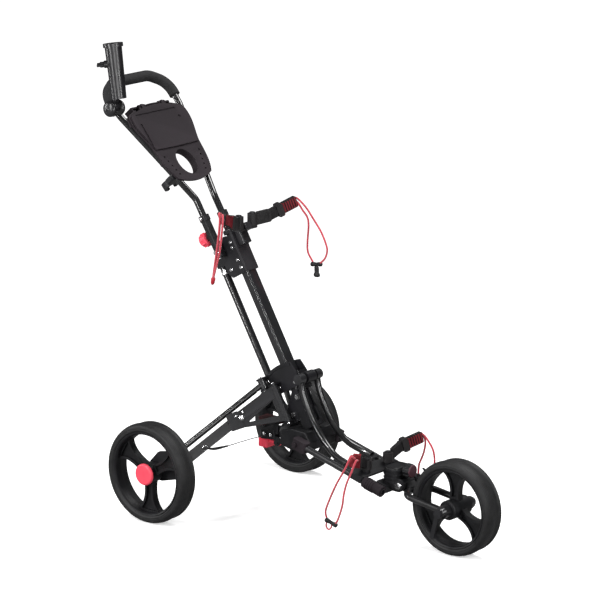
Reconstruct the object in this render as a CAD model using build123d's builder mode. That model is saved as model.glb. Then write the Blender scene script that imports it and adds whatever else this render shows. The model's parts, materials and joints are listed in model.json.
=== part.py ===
from build123d import *
import os
from math import cos, radians, sin

os.makedirs("parts", exist_ok=True)

# Golf push trolley, millimetres, +X forward, +Y to the trolley's left, +Z up.
# The origin is on the ground at the centre of the trolley's outer box.

# ---- driving dimensions ------------------------------------------------------
rear_axle_x = -244.8          # rear axle, measured from the origin
wheelbase = 693.5
rear_track = 541.6            # between the rear wheels' middle planes
rear_radius = 120.0
rear_width = 48.0
front_radius = 111.0
front_width = 54.0
spine_slope = radians(59.6)   # main tube above the ground
leg_slope = radians(58.0)     # lower part of the handle
handle_slope = radians(47.9)  # upper part of the handle, and the console
rail_slope = radians(15.0)    # lower rails, falling forward
running = 0.05                # radial clearance of a pin that turns in its hole
side_gap = 0.4                # axial clearance between parts that move past each other

main_wide = 34.0
main_deep = 22.0
main_front = 6.0              # front face of the main tube ahead of the spine line
main_mid = main_front - main_deep / 2
plate_thick = 3.0
plate_y = main_wide / 2       # inner face of the plates beside the main tube
tube_r = 8.0                  # handle, rails and curved tubes
tube_wall = 1.5
handle_leg_y = 33.0
curve_y = 29.5
rail_y = 64.0
leg_axis_y = 36.0             # fold axes of the rear legs, each side of the middle
handle_pin_r = 4.0
leg_pin_r = 4.0
socket_out = 43.4             # clears the outer faces of the sockets on the handle's legs


def at(x, y, z):
    """A point given forward of the rear axle, left of the middle and above the ground."""
    return Vector(rear_axle_x + x, y, z)


# ---- reference planes --------------------------------------------------------
spine_front = Vector(sin(spine_slope), 0, cos(spine_slope))
spine_up = Vector(-cos(spine_slope), 0, sin(spine_slope))
spine = Plane(origin=at(198.5, 0, 361), x_dir=spine_front, z_dir=spine_up)
side = Plane(origin=spine.origin, x_dir=spine_front, z_dir=(0, -1, 0))

handle_pivot = at(7.4, 0, 611)
leg_up = Vector(-cos(leg_slope), 0, sin(leg_slope))
leg_back = Vector(-sin(leg_slope), 0, -cos(leg_slope))
console = Plane(
    origin=at(-216.6, 0, 889.6),
    x_dir=(0, 1, 0),
    z_dir=(sin(handle_slope), 0, cos(handle_slope)),
)
fold_pivot = at(255, 0, 343)
rail_ahead = Vector(cos(rail_slope), 0, -sin(rail_slope))
rail_top = Vector(sin(rail_slope), 0, cos(rail_slope))
rails = Plane(origin=at(278, 0, 197), x_dir=rail_ahead, z_dir=(0, -1, 0))
rear_axle = at(0, 0, rear_radius)
front_axle = at(wheelbase, 0, front_radius)


def spine_point(front, y, up):
    """A point given from the main tube's centreline: in front of it, to the left, up along it."""
    return spine.origin + spine_front * front + Vector(0, y, 0) + spine_up * up


def console_point(left, up, proud=0.0):
    """A point given in the console's plane: to the left, up the slope and above the plane."""
    return console.from_local_coords(Vector(left, up, proud))


def rail_point(ahead, y, over=0.0):
    """A point given along the lower rails from their rear bolts."""
    return rails.origin + rail_ahead * ahead + Vector(0, y, 0) + rail_top * over


# ---- shapes that repeat ------------------------------------------------------
def tube(points, radius, wall=0.0, bend=0.0, mode=Mode.ADD):
    """A round tube along a centreline with bends of one radius."""
    with BuildLine() as centreline:
        if len(points) > 2:
            FilletPolyline(*points, radius=bend)
        else:
            Line(*points)
    path = centreline.wire()
    with BuildSketch(Plane(origin=path @ 0, z_dir=path % 0)) as section:
        Circle(radius)
        if wall:
            Circle(radius - wall, mode=Mode.SUBTRACT)
    sweep(section.sketch, path=path, mode=mode)


def cord(points, radius):
    """A round cord along a smooth curve through the points."""
    with BuildLine() as centreline:
        Spline(*points)
    path = centreline.wire()
    with BuildSketch(Plane(origin=path @ 0, z_dir=path % 0)) as section:
        Circle(radius)
    sweep(section.sketch, path=path)


def bar(start, direction, radius, length, mode=Mode.ADD):
    """A round bar from a point along a direction."""
    with BuildSketch(Plane(origin=start, z_dir=direction)) as section:
        Circle(radius)
    extrude(section.sketch, amount=length, mode=mode)


def block(centre, x_dir, z_dir, size, corner=0.0, mode=Mode.ADD):
    """A block centred on a point; size is along x_dir, across both and along z_dir."""
    plane = Plane(origin=centre, x_dir=x_dir, z_dir=z_dir)
    with BuildSketch(plane.offset(-size[2] / 2)) as section:
        if corner:
            RectangleRounded(size[0], size[1], corner)
        else:
            Rectangle(size[0], size[1])
    extrude(section.sketch, amount=size[2], mode=mode)


def bolt(centre, direction, radius, length, head_r, head):
    """A bolt through everything, with a domed head at one end and a nut at the other."""
    axis = Vector(*direction).normalized()
    bar(centre - axis * (length / 2), axis, radius, length)
    with BuildSketch(Plane(origin=centre + axis * (length / 2), z_dir=axis)) as dome:
        Circle(head_r)
    extrude(dome.sketch, amount=head, taper=25)
    with BuildSketch(Plane(origin=centre - axis * (length / 2), z_dir=-axis)) as nut:
        RegularPolygon(head_r, 6)
    extrude(nut.sketch, amount=head)


def save(part, name):
    """Names the piece and writes it."""
    part.label = name
    export_step(part, "parts/" + name + ".step")


# ---- spine: main tube, sleeve, cap -------------------------------------------
main_bottom = -152.0
main_top = 340.0

with BuildPart() as main_tube:
    with BuildSketch(spine.offset(main_bottom)):
        with Locations((main_mid, 0)):
            RectangleRounded(main_deep, main_wide, 4.5)
            RectangleRounded(main_deep - 3.2, main_wide - 3.2, 3.0, mode=Mode.SUBTRACT)
    extrude(amount=main_top - main_bottom)
save(main_tube.part, "main_tube")

sleeve_bottom = 243.0
sleeve_top = 301.0
plate_front = 3.0             # front edge of the upper plates
apron = main_front + 4.0      # front of the sleeve and the cap
apron_mid = (plate_front + 0.4 + apron) / 2
apron_deep = apron - plate_front - 0.4

with BuildPart() as main_tube_sleeve:
    # saddle around the front of the main tube, just ahead of the plates
    with BuildSketch(spine.offset(sleeve_bottom)):
        with Locations((apron_mid, 0)):
            Rectangle(apron_deep, main_wide + 7)
        with Locations((main_mid, 0)):
            RectangleRounded(main_deep, main_wide, 4.5, mode=Mode.SUBTRACT)
    extrude(amount=sleeve_top - sleeve_bottom)
save(main_tube_sleeve.part, "main_tube_sleeve")

with BuildPart() as top_cap:
    with BuildSketch(spine.offset(main_top + 3)):
        with Locations(((apron - 18) / 2, 0)):
            RectangleRounded(apron + 18, main_wide + 9, 6)
    extrude(amount=11)
    fillet(top_cap.faces().sort_by(Axis(spine.origin, spine_up))[-1].edges(), 5)
    with BuildSketch(spine.offset(sleeve_top + 0.4)):
        with Locations((apron_mid, 0)):
            Rectangle(apron_deep, main_wide + 9)
        with Locations((main_mid, 0)):
            RectangleRounded(main_deep, main_wide, 4.5, mode=Mode.SUBTRACT)
    extrude(amount=main_top + 8 - sleeve_top)
    with BuildSketch(spine.offset(main_top - 16)):
        with Locations((main_mid, 0)):
            RectangleRounded(main_deep - 3.2, main_wide - 3.2, 3.0)
    extrude(amount=21)
save(top_cap.part, "top_cap")

# ---- spine: second tube behind the main one ----------------------------------
brace_back = -75.0
brace_r = 9.0
brace_bottom = -6.0
brace_top = 281.0

with BuildPart() as rear_brace_tube:
    tube([spine_point(brace_back, 0, brace_bottom), spine_point(brace_back, 0, brace_top)], brace_r, 1.4)
save(rear_brace_tube.part, "rear_brace_tube")

with BuildPart() as brace_end_blocks:
    # an angled block that reaches in between the upper plates, and one between the lower plates
    block(spine_point(brace_back + 8, 0, brace_top + 10), spine_front, spine_up, (36, 24, 20), 4)
    block(spine_point(-36, 0, brace_top + 10), spine_front, spine_up, (34, main_wide, 20), 4)
    block(spine_point(-41, 0, brace_top - 12), spine_front, spine_up, (26, main_wide, 30), 4)
    bar(spine_point(brace_back, 0, brace_top), -spine_up, brace_r - 1.4, 14)
    block(spine_point(brace_back, 0, brace_bottom - 7), spine_front, spine_up, (20, main_wide, 14), 4)
    bar(spine_point(brace_back, 0, brace_bottom), spine_up, brace_r - 1.4, 14)
save(brace_end_blocks.part, "brace_end_blocks")

# ---- spine: side plates --------------------------------------------------------
handle_pivot_front = (handle_pivot - spine.origin).dot(spine_front)
handle_pivot_up = (handle_pivot - spine.origin).dot(spine_up)
thin_axis = (-71.4, -15.9)    # fold axes of the rear legs: front of and up along the main tube
thick_axis = (-42.3, -39.3)
thin_eye = 22.0               # length of a strut's eye
thick_top = -30.0             # the leg bracket's barrel lies between these two
thick_bottom = -120.0
tab = 4.0

with BuildPart() as upper_plate_right:
    with BuildSketch(side.offset(plate_y)) as upper_plate_outline:
        with BuildLine():
            Polyline(
                (plate_front, 243), (plate_front, 336), (-20, 342), (-46, 334),
                (-54, 312), (-51, 262), (-42, 243), close=True,
            )
        make_face()
        fillet(upper_plate_outline.vertices(), 6)
        with Locations((handle_pivot_front, handle_pivot_up)):
            Circle(handle_pin_r, mode=Mode.SUBTRACT)
    extrude(amount=plate_thick)

with BuildPart() as upper_plates:
    add(upper_plate_right.part)
    mirror(upper_plate_right.part, about=Plane.XZ)
save(upper_plates.part, "upper_plates")


def hinge_tab(front, up):
    """A tab around a leg's fold axis, standing out from the right-hand plate."""
    out = leg_axis_y + 9 - plate_y
    block(
        spine_point(front, -(plate_y + out / 2), up), spine_front, spine_up,
        (20, out, tab), 5,
    )


with BuildPart() as lower_plate_right:
    with BuildSketch(side.offset(plate_y)):
        with BuildLine():
            Polyline((-92, -14), (-84, -32), (-46, -54), (28, -54), (26, -22), (20, 4))
            ThreePointArc((20, 4), (-38, 8), (-92, -14))
        make_face()
    extrude(amount=plate_thick)
    # a pressed rim along the curved edge
    with BuildSketch(side.offset(plate_y + plate_thick)):
        with BuildLine():
            ThreePointArc((18, 2), (-38, 6), (-86, -14))
            Line((-86, -14), (-84, -19))
            ThreePointArc((-84, -19), (-38, 1), (16, -3))
            Line((16, -3), (18, 2))
        make_face()
    extrude(amount=1.5)
    hinge_tab(thin_axis[0], thin_axis[1] + thin_eye / 2 + side_gap + tab / 2)
    hinge_tab(thin_axis[0], thin_axis[1] - thin_eye / 2 - side_gap - tab / 2)
    hinge_tab(thick_axis[0], thick_top + tab / 2)
    for front, up in (thin_axis, (thick_axis[0], thick_top)):
        bar(spine_point(front, -leg_axis_y, up - 30), spine_up, leg_pin_r, 60, Mode.SUBTRACT)

with BuildPart() as gusset_right:
    with BuildSketch(side.offset(plate_y)) as gusset_outline:
        with BuildLine():
            Polyline((8, -60), (8, -132), (-52, -128), (-54, -104), (-12, -62), close=True)
        make_face()
        fillet(gusset_outline.vertices(), 5)
    extrude(amount=plate_thick)
    hinge_tab(thick_axis[0], thick_bottom - tab / 2)
    bar(spine_point(thick_axis[0], -leg_axis_y, thick_bottom - 10), spine_up, leg_pin_r, 20, Mode.SUBTRACT)

with BuildPart() as lower_plates:
    # a fan plate and a gusset on each side
    for plate in (lower_plate_right.part, gusset_right.part):
        add(plate)
        mirror(plate, about=Plane.XZ)
save(lower_plates.part, "lower_plates")

# rivets and bolts through the main tube: place, shank, head radius and head height
rivets = ((-6, 322), (-8, 309), (-7, 277), (-6, 257), (-38, 263))
plate_bolts = ((-68, -14), (-42, -39), (12, -44))
gusset_bolts = ((-34, -112), (0, -78))

with BuildPart() as frame_fasteners:
    for spots, shank, head_r, head in (
        (rivets, 2.5, 4.2, 1.8), (plate_bolts, 3.0, 5.0, 2.5), (gusset_bolts, 4.0, 7.0, 4.0),
    ):
        for front, up in spots:
            bolt(spine_point(front, 0, up), (0, -1, 0), shank, main_wide + 2 * plate_thick, head_r, head)
save(frame_fasteners.part, "frame_fasteners")

with BuildPart() as pivot_pins:
    # the handle's pivot bolt and the four pins that the rear legs fold on
    bolt(handle_pivot, (0, -1, 0), handle_pin_r, 2 * socket_out + 2, 7.5, 4)
    for sign in (-1, 1):
        bar(spine_point(thick_axis[0], sign * leg_axis_y, thick_bottom - tab - 3), spine_up,
            leg_pin_r, thick_top - thick_bottom + 2 * tab + 6)
        bar(spine_point(thin_axis[0], sign * leg_axis_y, thin_axis[1] - thin_eye / 2 - tab - 3), spine_up,
            leg_pin_r, thin_eye + 2 * tab + 6)
save(pivot_pins.part, "pivot_pins")

with BuildPart() as fold_bracket:
    # saddle and eye for the crossbar, and the strip that is riveted down the main tube
    lug_front = (fold_pivot - spine.origin).dot(spine_front)
    lug_up = (fold_pivot - spine.origin).dot(spine_up)
    block(spine_point(main_front + 11, 0, lug_up), spine_front, spine_up, (22, 30, 46), 3)
    bar(spine_point(lug_front, 15, lug_up), (0, -1, 0), 14.0, 30)
    bar(spine_point(lug_front, 20, lug_up), (0, -1, 0), tube_r + running, 40, Mode.SUBTRACT)
    block(spine_point(main_front + 1.5, 0, -104), spine_front, spine_up, (3, 15, 80), 1.4)
    for up in (-84, -112, -136):
        bar(spine_point(main_front + 2, 0, up), spine_front, 4.2, 3)
save(fold_bracket.part, "fold_bracket")

# ---- spine: lower housing and brake ------------------------------------------------
with BuildPart() as lower_housing:
    with BuildSketch(Plane(origin=at(0, -50, 0), x_dir=(1, 0, 0), z_dir=(0, -1, 0))) as housing_outline:
        with BuildLine():
            Polyline(
                (206, 180), (214, 216), (246, 224), (286, 222),
                (300, 200), (296, 176), (240, 172), close=True,
            )
        make_face()
        fillet(housing_outline.vertices(), 7)
    extrude(amount=-100)
    fillet(lower_housing.edges().filter_by(GeomType.LINE, reverse=True), 3)
    bar(at(214, 0, 198), (-1, 0, -0.1), 24.0, 27)
    # neck around the foot of the main tube
    block(spine_point(main_mid, 0, main_bottom + 18), spine_front, spine_up, (38, 40.5, 44), 5)
    with BuildSketch(spine.offset(main_bottom)) as foot:
        with Locations((main_mid, 0)):
            RectangleRounded(main_deep, main_wide, 4.5)
    extrude(foot.sketch, amount=80, mode=Mode.SUBTRACT)
    for sign in (-1, 1):
        block(
            spine_point(-22, sign * (plate_y + plate_thick / 2), -96), spine_front, spine_up,
            (74, plate_thick, 76), mode=Mode.SUBTRACT,
        )
    block(spine_point(main_front + 4, 0, -104), spine_front, spine_up, (8, 16, 84), mode=Mode.SUBTRACT)
save(lower_housing.part, "lower_housing")

with BuildPart() as brake_body:
    block(at(150, 0, 187), (1, 0, 0.1), (-0.1, 0, 1), (44, 50, 22), 4)
    bar(at(168, 0, 190), (1, 0, 0.1), 13.0, 19)
    for x in (142, 162):
        bar(at(x, -24, 188), (0, -1, 0), 4.2, 3.5)
        bar(at(x, 24, 188), (0, 1, 0), 4.2, 3.5)
    # ears that the two pedals turn on
    for sign in (-1, 1):
        block(at(176, sign * 20, 174), (1, 0, 0), (0, 1, 0), (16, 22, 4), 5)
        block(at(173, sign * 20, 208), (1, 0, 0), (0, 1, 0), (16, 34, 4), 5)
    bar(at(178, 24, 169), (0, -1, 0), 3.0, 48)
    bar(at(173, 24, 219), (0, -1, 0), 3.0, 48)
save(brake_body.part, "brake_body")

with BuildPart() as brake_pedal:
    bar(at(178, 17.5, 169), (0, -1, 0), 7.0, 35)
    block(at(158, 0, 167), (1, 0, 0), (0, 0, 1), (34, 24, 6), 2)
    block(at(132, 0, 163), (1, 0, 0), (0, 0, 1), (28, 46, 20), 6)
    for step in range(5):
        block(at(122 + 5 * step, 0, 152), (1, 0, 0), (0, 0, 1), (2.4, 40, 3), 1)
    bar(at(178, 20, 169), (0, -1, 0), 3.0 + running, 40, Mode.SUBTRACT)
save(brake_pedal.part, "brake_pedal")

with BuildPart() as brake_release:
    bar(at(173, 17.5, 219), (0, -1, 0), 6.5, 35)
    block(at(143, 0, 219), (1, 0, 0), (0, 0, 1), (56, 34, 7), 3)
    bar(at(173, 20, 219), (0, -1, 0), 3.0 + running, 40, Mode.SUBTRACT)
save(brake_release.part, "brake_release")

# ---- spine: upper cradle ------------------------------------------------------------
upper_hinge_y = 25.0
arm_pin_r = 4.0
upper_barrel = 30.0           # height of an upper arm's hinge barrel
lower_barrel = 22.0
upper_hinge = at(60, 0, 688)

with BuildPart() as upper_cradle:
    # saddle over the front of the main tube's top, and a cross block with a pin at each end
    block(spine_point(apron + 10, 0, 322), spine_front, spine_up, (20, 28, 34), 4)
    block(spine_point(34, 0, 340), spine_front, spine_up, (34, 24, 18), 4)
    for sign in (-1, 1):
        foot = upper_hinge + Vector(0, sign * upper_hinge_y, -upper_barrel / 2 - side_gap - 4)
        block(foot + Vector(-2, -sign * 3, 2), (1, 0, 0), (0, 0, 1), (24, 28, 4), 6)
        bar(foot, (0, 0, 1), arm_pin_r, upper_barrel + 2 * side_gap + 6)
        bar(foot + Vector(0, 0, upper_barrel + 2 * side_gap + 4), (0, 0, 1), 7.0, 3)
save(upper_cradle.part, "upper_cradle")

# ---- handle: bent tube, grip, sockets -----------------------------------------------
loop_low = (107.0, 36.0)      # bends of the loop in the console's plane: out and up
loop_out = (112.0, 98.0)
loop_top = (62.0, 128.0)
leg_foot = 20.0               # the tube starts this far above the pivot
leg_long = 138.0              # from the pivot to the bend below the console
leg_bend = handle_pivot + leg_up * leg_long
handle_bend = 48.0
grip_start_left = (108.9, 60.0)
grip_start_right = (109.5, 67.0)


def leg_point(sign, along):
    """A point on the centreline of a lower leg of the handle, above the pivot."""
    return handle_pivot + Vector(0, sign * handle_leg_y, 0) + leg_up * along


def loop_point(sign, place):
    """A point of the handle's loop on the right (-1) or the left (1)."""
    return console_point(sign * place[0], place[1])


handle_line = [
    leg_point(-1, leg_foot),
    leg_bend + Vector(0, -handle_leg_y, 0),
    loop_point(-1, loop_low),
    loop_point(-1, loop_out),
    loop_point(-1, loop_top),
    loop_point(1, loop_top),
    loop_point(1, loop_out),
    loop_point(1, loop_low),
    leg_bend + Vector(0, handle_leg_y, 0),
    leg_point(1, leg_foot),
]

with BuildPart() as handle_tube:
    tube(handle_line, tube_r, tube_wall, handle_bend)
save(handle_tube.part, "handle_tube")

with BuildPart() as handle_grip:
    grip_line = [
        loop_point(-1, grip_start_right),
        loop_point(-1, loop_out),
        loop_point(-1, loop_top),
        loop_point(1, loop_top),
        loop_point(1, loop_out),
        loop_point(1, grip_start_left),
    ]
    tube(grip_line, 13.5, 0, handle_bend)
    tube(handle_line, tube_r, 0, handle_bend, Mode.SUBTRACT)
save(handle_grip.part, "handle_grip")

knob_spot = leg_point(-1, 42)
knob_r = 16.0

with BuildPart() as handle_sockets:
    for sign in (-1, 1):
        block(leg_point(sign, 36), leg_back, leg_up, (19, 20, 98), 6)
        block(leg_point(sign, 88), leg_back, leg_up, (22, 22, 14), 6)
        bar(leg_point(sign, 88) + Vector(0, sign * 11, 0), (0, sign, 0), 4.0, 2)
        bar(leg_point(sign, leg_foot), leg_up, tube_r, 90, Mode.SUBTRACT)
        bar(handle_pivot + Vector(0, sign * 60, 0), (0, -sign, 0), handle_pin_r + running, 50,
            Mode.SUBTRACT)
    # boss that the lock knob's stud turns in
    bar(knob_spot + leg_back * 9, leg_back, 8.0, 4)
    bar(knob_spot + leg_back * 8.2, leg_back, 3.0 + running, 20, Mode.SUBTRACT)
save(handle_sockets.part, "handle_sockets")

with BuildPart() as handle_knob:
    bar(knob_spot + leg_back * 8.4, leg_back, 3.0, 8)
    bar(knob_spot + leg_back * 13.4, leg_back, knob_r, 20)
    fillet(handle_knob.edges().filter_by(GeomType.CIRCLE).group_by(SortBy.RADIUS)[-1], 3)
    for turn in range(10):
        angle = radians(36 * turn)
        rib = Vector(0, cos(angle), 0) + leg_up * sin(angle)
        bar(knob_spot + leg_back * 17 + rib * knob_r, leg_back, 2.0, 13)
save(handle_knob.part, "handle_knob")

# ---- handle: console -------------------------------------------------------------------
deck = tube_r + 1.0           # underside of the console above the tube's centre plane
deck_thick = 5.0
lid_low = deck + deck_thick + 0.4
lid_thick = 3.6
seam_up = -84.0
cup_up = -123.0
cup = (29.0, 35.0)            # half width and half length of the drink opening
lid_hinge_up = 45.5
lid_hinge_proud = deck + 3.5
knuckle_r = 3.4


with BuildPart() as console_tray:
    with BuildSketch(console.offset(deck)) as tray_face:
        with BuildLine():
            top = ThreePointArc((-96, 25), (0, 47), (96, 25))
            left_side = Spline(top @ 1, (93, -34), (84, -60), (79, -96), (59, -163))
            foot = ThreePointArc(left_side @ 1, (0, -176), (-59, -163))
            Spline(foot @ 1, (-79, -96), (-84, -60), (-93, -34), top @ 0)
        make_face()
        # drink opening and a row of tee holes on each side
        with Locations((0, cup_up)):
            Ellipse(*cup, mode=Mode.SUBTRACT)
        for sign in (-1, 1):
            with Locations([(sign * (62 - 4 * tee), -100 - 13 * tee) for tee in range(5)]):
                Circle(2.6, mode=Mode.SUBTRACT)
    extrude(amount=deck_thick)
    # storage well between the handle's legs
    with BuildSketch(console.offset(deck)) as well_outside:
        Trapezoid(136, 96, 80, rotation=180)
    extrude(amount=-26)
    with BuildSketch(console.offset(deck + deck_thick)) as well_inside:
        Trapezoid(128, 88, 80, rotation=180)
    extrude(amount=-(deck_thick + 23), mode=Mode.SUBTRACT)
    # collar below the drink opening
    with BuildSketch(console.offset(deck)) as collar:
        with Locations((0, cup_up)):
            Ellipse(cup[0] + 3, cup[1] + 3)
            Ellipse(*cup, mode=Mode.SUBTRACT)
    extrude(amount=-16)
    # saddles that sit on the handle's tube
    for left, up in ((96, 10), (-96, 10), (66, -104), (-66, -104)):
        block(console_point(left, up, deck - 5), (0, 1, 0), console.z_dir, (14, 26, 12), 3)
    tube(handle_line, tube_r, 0, handle_bend, Mode.SUBTRACT)
    # notches that the lid's knuckles turn in, and the tray's own knuckles
    for sign in (-1, 1):
        bar(console_point(sign * 31.2, lid_hinge_up, lid_hinge_proud), (0, sign, 0), 5.0, 8.6, Mode.SUBTRACT)
    for sign in (-1, 1):
        for start in (24, 40):
            bar(console_point(sign * start, lid_hinge_up, lid_hinge_proud), (0, sign, 0), knuckle_r, 7)
            block(
                console_point(sign * (start + 3.5), lid_hinge_up - 5, deck + 2.5),
                (0, 1, 0), console.y_dir, (7, 5, 10),
            )
    # moulded pins between the knuckles, which the lid turns on
    for sign in (-1, 1):
        bar(console_point(sign * 28, lid_hinge_up, lid_hinge_proud), (0, sign, 0), 1.5, 14)
save(console_tray.part, "console_tray")

with BuildPart() as console_lid:
    with BuildSketch(console.offset(lid_low)) as lid_face:
        with BuildLine():
            top = ThreePointArc((-93, 20), (0, 40.5), (93, 20))
            left_side = Spline(top @ 1, (90, -34), (81, -60), (76, seam_up + 6))
            seam = ThreePointArc(left_side @ 1, (0, seam_up + 4), (-76, seam_up + 6))
            Spline(seam @ 1, (-81, -60), (-90, -34), top @ 0)
        make_face()
    extrude(amount=lid_thick)
    # scorecard clip slot and pencil slot
    with BuildSketch(console.offset(lid_low + lid_thick)) as lid_slots:
        with Locations((-8, 20)):
            SlotOverall(140, 4)
        with Locations((-79, -36)):
            SlotOverall(64, 7, rotation=86)
        with Locations((60, -4)):
            Circle(4)
    extrude(amount=-2.2, mode=Mode.SUBTRACT)
    for sign in (-1, 1):
        bar(console_point(sign * 31.5, lid_hinge_up, lid_hinge_proud), (0, sign, 0), knuckle_r, 8)
        block(
            console_point(sign * 35.5, lid_hinge_up, lid_low + 0.5),
            (0, 1, 0), console.z_dir, (8, 6, 4),
        )
        block(
            console_point(sign * 35.5, lid_hinge_up - 6, lid_low + 1.5),
            (0, 1, 0), console.z_dir, (8, 13, 3),
        )
    bar(console_point(-60, lid_hinge_up, lid_hinge_proud), (0, 1, 0), 1.5 + running, 120, Mode.SUBTRACT)
save(console_lid.part, "console_lid")

with BuildPart() as frame_clip:
    # open-ended catch under the console that holds the folded frame
    block(console_point(-47, -150, -7), (0, 1, 0), console.z_dir, (36, 16, 26), 4)
    ring_plane = Plane(origin=console_point(-40, -158, -34), x_dir=(0, 1, 0), z_dir=console.y_dir)
    with BuildSketch(ring_plane) as ring:
        Circle(20)
        Circle(12, mode=Mode.SUBTRACT)
        with Locations((14, 12)):
            Rectangle(20, 16, mode=Mode.SUBTRACT)
    extrude(ring.sketch, amount=16)
    tube(handle_line, tube_r, 0, handle_bend, Mode.SUBTRACT)
save(frame_clip.part, "frame_clip")

# ---- umbrella holder ------------------------------------------------------------------------
clamp_spot = console_point(-108.6, 56)
ball_centre = at(-241, -128, 945)
holder_up = Vector(-0.143, 0, 0.99)
holder_foot = at(-230, -121, 963)
holder_length = 132.0
holder_out = 18.0
holder_bore = 15.0

with BuildPart() as umbrella_clamp:
    along = (loop_point(-1, loop_out) - loop_point(-1, loop_low)).normalized()
    bar(clamp_spot - along * 10, along, 15.0, 20)
    inner_cheek = ball_centre + Vector(0, 9.4, 0)
    bar(clamp_spot, inner_cheek - clamp_spot, 8.0, (inner_cheek - clamp_spot).length)
    # round knuckle with a slot for the holder's disc, and its pin
    with Locations(ball_centre):
        Sphere(15.5)
    block(ball_centre + Vector(0, 0, 4), (1, 0, 0), (0, 1, 0), (48, 48, 12.6), mode=Mode.SUBTRACT)
    bar(ball_centre + Vector(0, -17.5, 0), (0, 1, 0), 4.0, 28)
    bar(ball_centre + Vector(0, -18.5, 0), (0, 1, 0), 7.0, 5)
    tube(handle_line, tube_r, 0, handle_bend, Mode.SUBTRACT)
save(umbrella_clamp.part, "umbrella_clamp")

screw_out = Vector(-0.75, -0.65, -0.108).normalized()
screw_spot = holder_foot + holder_up * 84

with BuildPart() as umbrella_holder:
    with BuildSketch(Plane(origin=holder_foot, z_dir=holder_up)) as holder_wall:
        Circle(holder_out)
    extrude(holder_wall.sketch, amount=holder_length, taper=-1.2)
    bar(holder_foot + holder_up * (holder_length - 9), holder_up, holder_out + 6, 9)
    block(holder_foot + holder_up * 60 + Vector(-14, 0, 0), (0, 1, 0), holder_up, (9, 12, 110), 2)
    bar(screw_spot, screw_out, 9.0, 26)
    bar(ball_centre + Vector(0, 6, 0), (0, -1, 0), 12.0, 12)
    # flat tongue from the hinge disc up into the holder's foot
    tongue = Vector(holder_foot.X - ball_centre.X, 0, holder_foot.Z + 5 - ball_centre.Z)
    block(ball_centre + tongue / 2, tongue, (0, 1, 0), (tongue.length, 11, 12))
    bar(holder_foot + holder_up * 10, holder_up, holder_bore, holder_length, Mode.SUBTRACT)
    bar(screw_spot, screw_out, 3.0 + running, 40, Mode.SUBTRACT)
    bar(ball_centre + Vector(0, 20, 0), (0, -1, 0), 4.0 + running, 40, Mode.SUBTRACT)
save(umbrella_holder.part, "umbrella_holder")

with BuildPart() as umbrella_screw:
    bar(screw_spot + screw_out * 16, screw_out, 3.0, 12)
    bar(screw_spot + screw_out * 26.6, screw_out, 7.0, 9)
    wing_across = screw_out.cross(Vector(0, 0, 1)).normalized()
    block(screw_spot + screw_out * 35, wing_across, screw_out, (34, 5, 16), 2)
save(umbrella_screw.part, "umbrella_screw")

# ---- cradle arms and cords ---------------------------------------------------------------------
pad_long = 48.0
pad_high = 28.0
pad_thick = 14.0


def cradle_arm(hinge, knee, tip, barrel):
    """A cradle arm from its hinge barrel to a strap and a ribbed rubber pad at its tip."""
    reach = (tip - knee).normalized()
    up = Vector(0, 0, 1)
    across = reach.cross(up).normalized()
    bar(hinge - up * barrel / 2, up, 12.0, barrel)
    for start, end, high in ((hinge, knee, barrel), (knee, tip - reach * (pad_long - 8), pad_high - 3)):
        run = (end - start).normalized()
        block((start + end) / 2, run, run.cross(up), ((end - start).length + 10, high, 12), 4)
    block(tip - reach * (pad_long + 1), reach, across, (16, pad_high + 5, pad_thick + 5), 4)
    pad = tip - reach * pad_long / 2
    block(pad, reach, across, (pad_long, pad_high, pad_thick - 5), 4)
    for rib in range(-3, 4):
        block(pad + reach * rib * 6.4, reach, across, (3.2, pad_high - 4, pad_thick), 1)
    # room for the pin's head and foot, and the bore
    for sign in (-1, 1):
        bar(hinge + up * sign * barrel / 2, up * sign, 13.0, 40, Mode.SUBTRACT)
    bar(hinge - up * 30, up, arm_pin_r + running, 60, Mode.SUBTRACT)


upper_knee = at(78, -62, 694)
upper_tip = at(106, -132, 722)

with BuildPart() as upper_arm_right:
    cradle_arm(upper_hinge + Vector(0, -upper_hinge_y, 0), upper_knee, upper_tip, upper_barrel)
save(upper_arm_right.part, "upper_arm_right")

with BuildPart() as upper_arm_left:
    mirror(upper_arm_right.part, about=Plane.XZ)
save(upper_arm_left.part, "upper_arm_left")

with BuildPart() as upper_cord_left:
    # looped elastic cord hanging from the pad, with its hook
    start = upper_tip + Vector(0, 2 * 132, 0)
    cord(
        [
            start, start + Vector(22, 8, -6), start + Vector(38, 10, -52),
            start + Vector(58, 8, -110), start + Vector(50, 8, -154),
        ],
        2.5,
    )
    cord(
        [
            start + Vector(0, 0, -8), start + Vector(14, 6, -26), start + Vector(18, 8, -80),
            start + Vector(24, 8, -120), start + Vector(34, 8, -154),
        ],
        2.5,
    )
    block(start + Vector(42, 8, -157), (1, 0, 0), (0, 0, 1), (30, 7, 8), 2)
    block(start + Vector(42, 8, -168), (1, 0, 0), (0, 0, 1), (16, 6, 18), 2)
save(upper_cord_left.part, "upper_cord_left")

with BuildPart() as upper_cord_right:
    start = upper_tip
    cord(
        [start, start + Vector(4, -8, -10), start + Vector(-12, -6, -80), start + Vector(-34, 4, -150)],
        2.5,
    )
    cord(
        [start + Vector(-6, 2, -8), start + Vector(-10, -6, -60), start + Vector(-30, 0, -120),
         start + Vector(-34, 4, -150)],
        2.5,
    )
    block(start + Vector(-36, 4, -157), (1, 0, 0), (0, 0, 1), (12, 7, 18), 2)
save(upper_cord_right.part, "upper_cord_right")

# ---- front frame -------------------------------------------------------------------------------
rail_long = 262.0

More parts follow.
